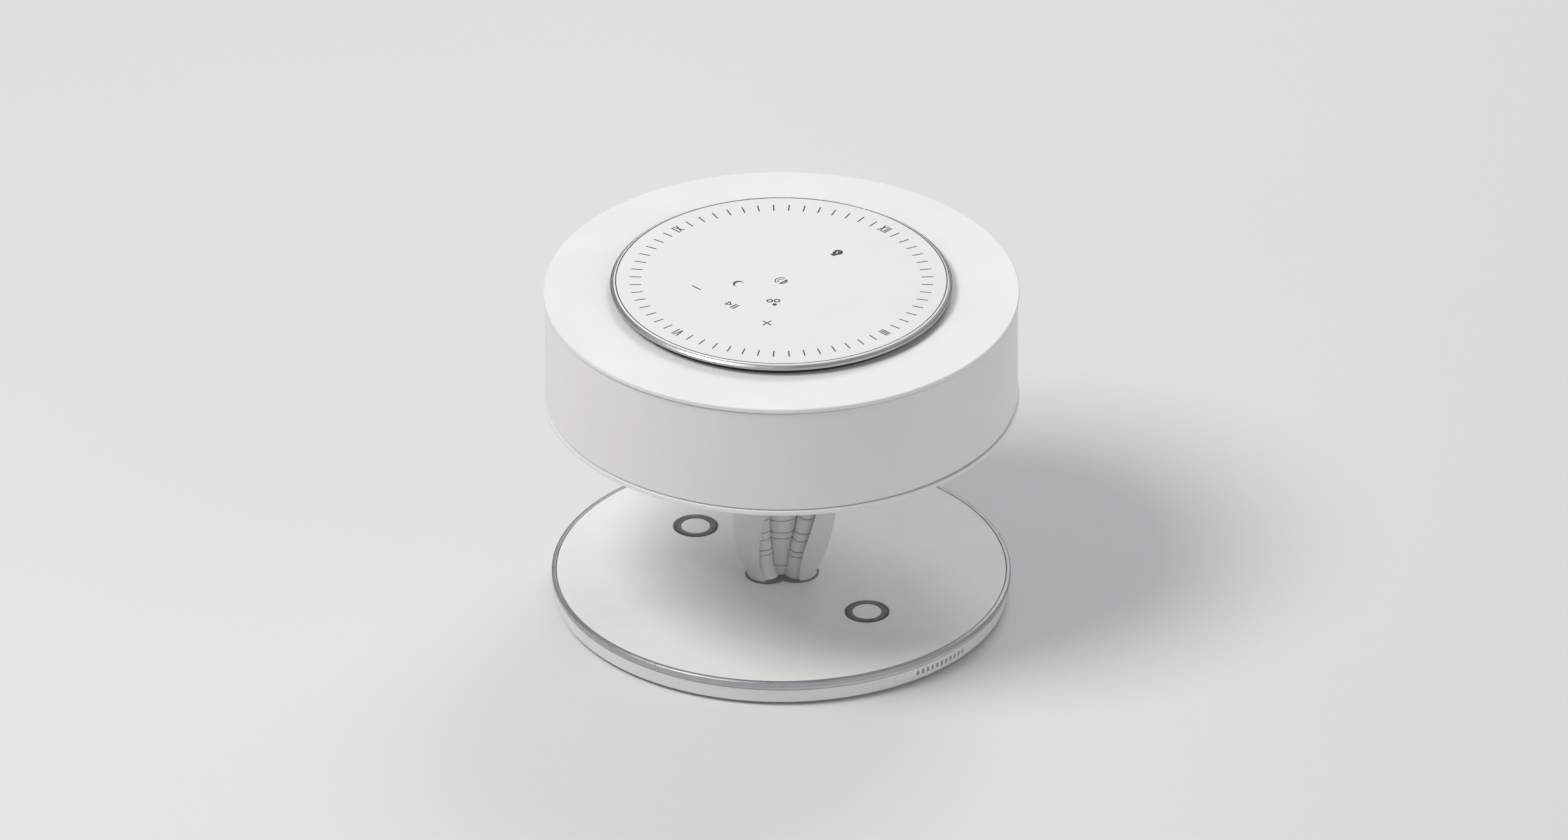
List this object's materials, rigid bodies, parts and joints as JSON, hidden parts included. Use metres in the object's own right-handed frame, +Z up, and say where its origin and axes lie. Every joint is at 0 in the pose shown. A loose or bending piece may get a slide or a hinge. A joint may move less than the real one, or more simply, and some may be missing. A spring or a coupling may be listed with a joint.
{
  "type": "bedside table lamp",
  "caption": "Table lamp with a flat drum shade, dial-edged touch control disc and speaker, on a twisted trunk over a round wireless charging base.",
  "frame": {"origin": "centre of the footprint, on the table", "axes": "+Z up, -Y towards the user, +X to the user's right"},
  "size_m": [0.24, 0.24, 0.1814],
  "materials": {
    "white_shell": "fine satin moulding texture",
    "white_trunk": "satin, with shallow rings",
    "satin_trim": "satin turned",
    "opal_diffuser": "opal, soft sheen",
    "touch_glass": "white-backed, polished",
    "grey_silicone": "soft matte",
    "dark_plastic": "fine matte",
    "speaker_rubber": "matte",
    "steel": "zinc plated",
    "aluminium": "rolled sheet",
    "copper": "enamelled copper wire",
    "ferrite": "pressed and ground",
    "circuit_board": "solder mask",
    "phosphor": "cast silicone",
    "cone_paper": "pressed pulp"
  },
  "bodies": {
    "lamp_body": {"base_lower_shell": "white_shell", "base_top_plate": "white_shell", "drum_bottom_ring": "white_shell", "sound_grille": "white_shell", "drum_cover": "white_shell", "trunk_petal_1": "white_shell", "trunk_petal_2": "white_shell", "trunk_petal_3": "white_shell", "trunk_core": "white_trunk", "trunk_stem_1": "white_trunk", "trunk_stem_2": "white_trunk", "trunk_stem_3": "white_trunk", "base_trim_ring": "satin_trim", "floor_diffuser": "opal_diffuser", "diffuser_wall": "opal_diffuser", "touch_glass": "touch_glass", "foot_pad_1": "grey_silicone", "foot_pad_2": "grey_silicone", "foot_pad_3": "grey_silicone", "foot_pad_4": "grey_silicone", "charging_grip_ring_left": "grey_silicone", "charging_grip_ring_right": "grey_silicone", "trunk_collar": "grey_silicone", "usb_c_tongue": "dark_plastic", "speaker_baffle": "dark_plastic", "centre_tube": "dark_plastic", "chamber_lid": "dark_plastic", "control_base": "dark_plastic", "wire_harness": "dark_plastic", "speaker_surround": "speaker_rubber", "base_screw_1": "steel", "base_screw_2": "steel", "base_screw_3": "steel", "base_screw_4": "steel", "ballast_ring": "steel", "usb_c_shell": "steel", "trunk_flange": "steel", "trunk_nut": "steel", "drum_nut": "steel", "hub_plate": "steel", "speaker_basket": "steel", "speaker_front_plate": "steel", "speaker_yoke": "steel", "heat_sink_ring": "aluminium", "charging_coil_left": "copper", "charging_coil_right": "copper", "ferrite_disc_left": "ferrite", "ferrite_disc_right": "ferrite", "speaker_magnet": "ferrite", "main_board": "circuit_board", "led_board": "circuit_board", "audio_board": "circuit_board", "touch_board": "circuit_board", "led_ring": "phosphor"},
    "dial_ring": {"control_ring": "satin_trim", "ring_magnet": "ferrite"},
    "cone_assembly": {"speaker_cone": "cone_paper", "dust_cap": "cone_paper"}
  },
  "joints": [
    {"name": "dial_ring_turn", "type": "hinge", "parent": "lamp_body", "child": "dial_ring", "pos_m": [0, 0, 0.1799], "axis": [0, 0, 1], "continuous": true},
    {"name": "cone_travel", "type": "slide", "parent": "lamp_body", "child": "cone_assembly", "axis": [0, 0, 1], "range_m": [-0.0015, 0.0015], "stiffness_N_per_m": 800}
  ]
}
